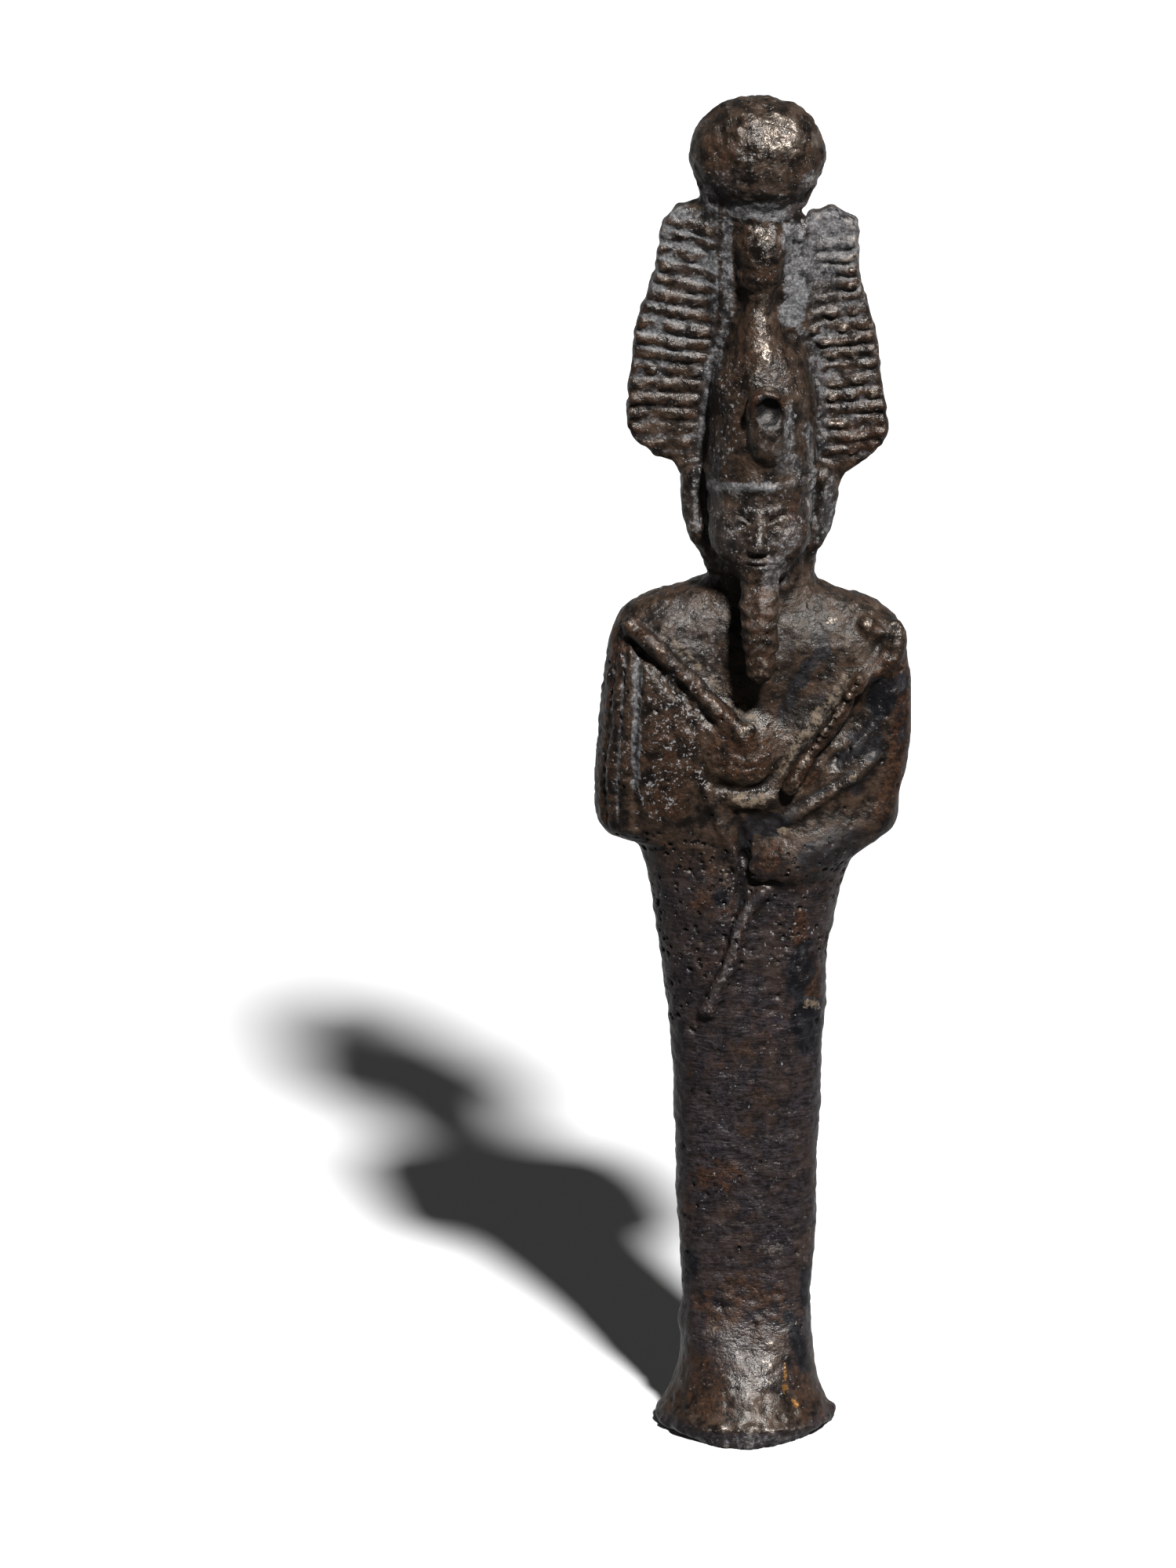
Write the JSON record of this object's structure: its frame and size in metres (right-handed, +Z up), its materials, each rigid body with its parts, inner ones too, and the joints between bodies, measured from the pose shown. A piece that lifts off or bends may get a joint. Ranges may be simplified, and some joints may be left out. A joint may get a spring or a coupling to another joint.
{
  "type": "bronze osiris figure",
  "caption": "Small cast bronze votive figure of a standing mummy-shaped deity with crossed arms, flail, crook, beard and a tall plumed crown topped by a disc.",
  "frame": {"origin": "middle of the figure's box at the level of its flat underside", "axes": "+Z up along the figure, -Y towards the front it faces, +X to the viewer's right"},
  "size_m": [0.0282, 0.0142, 0.1248],
  "materials": {
    "bronze": "satin"
  },
  "bodies": {
    "root": {"osiris_figure": "bronze"}
  },
  "joints": []
}
